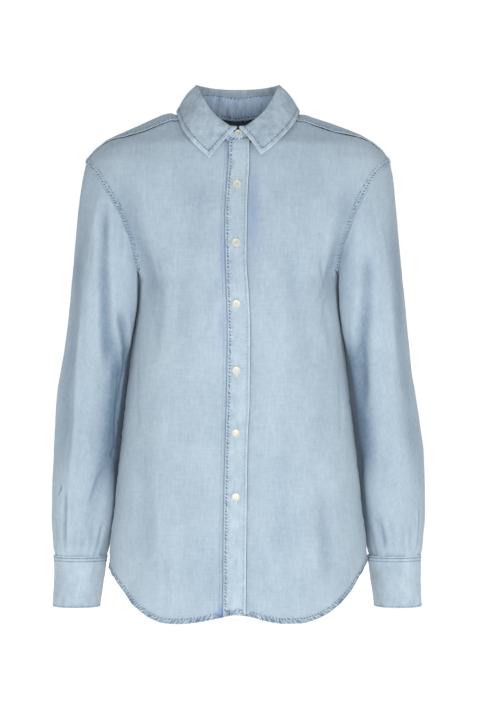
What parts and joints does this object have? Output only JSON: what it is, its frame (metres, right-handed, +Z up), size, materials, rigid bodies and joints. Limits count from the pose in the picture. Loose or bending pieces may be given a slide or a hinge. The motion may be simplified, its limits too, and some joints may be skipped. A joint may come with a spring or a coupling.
{
  "type": "denim shirt",
  "caption": "Light-washed denim shirt with a classic collar, buttoned front placket, shoulder yoke, long cuffed sleeves and a curved hem, filled out with no wearer.",
  "frame": {"origin": "at the height of the shoulders, in the middle of the neck, where the wearer carries the shirt", "axes": "+Z up, from the hem to the collar; the front faces -Y; +X towards the wearer's left sleeve"},
  "size_m": [0.5255, 0.2555, 0.7479],
  "materials": {
    "denim": "matte light-blue washed denim, one layer, with light worn edges",
    "denim_doubled": "matte light-blue washed denim, two or more layers, paler at the edges",
    "button": "satin cream-white four-hole button"
  },
  "bodies": {
    "root": {"back": "denim", "yoke": "denim", "front_left": "denim", "front_right": "denim", "front_placket": "denim_doubled", "sleeve_left": "denim", "sleeve_right": "denim", "sleeve_placket_left": "denim_doubled", "sleeve_placket_right": "denim_doubled", "cuff_left": "denim_doubled", "cuff_right": "denim_doubled", "collar_stand": "denim_doubled", "collar_leaf": "denim_doubled", "button_collar": "button", "button_front_1": "button", "button_front_2": "button", "button_front_3": "button", "button_front_4": "button", "button_front_5": "button", "button_front_6": "button", "button_cuff_left": "button", "button_cuff_right": "button"}
  },
  "joints": []
}
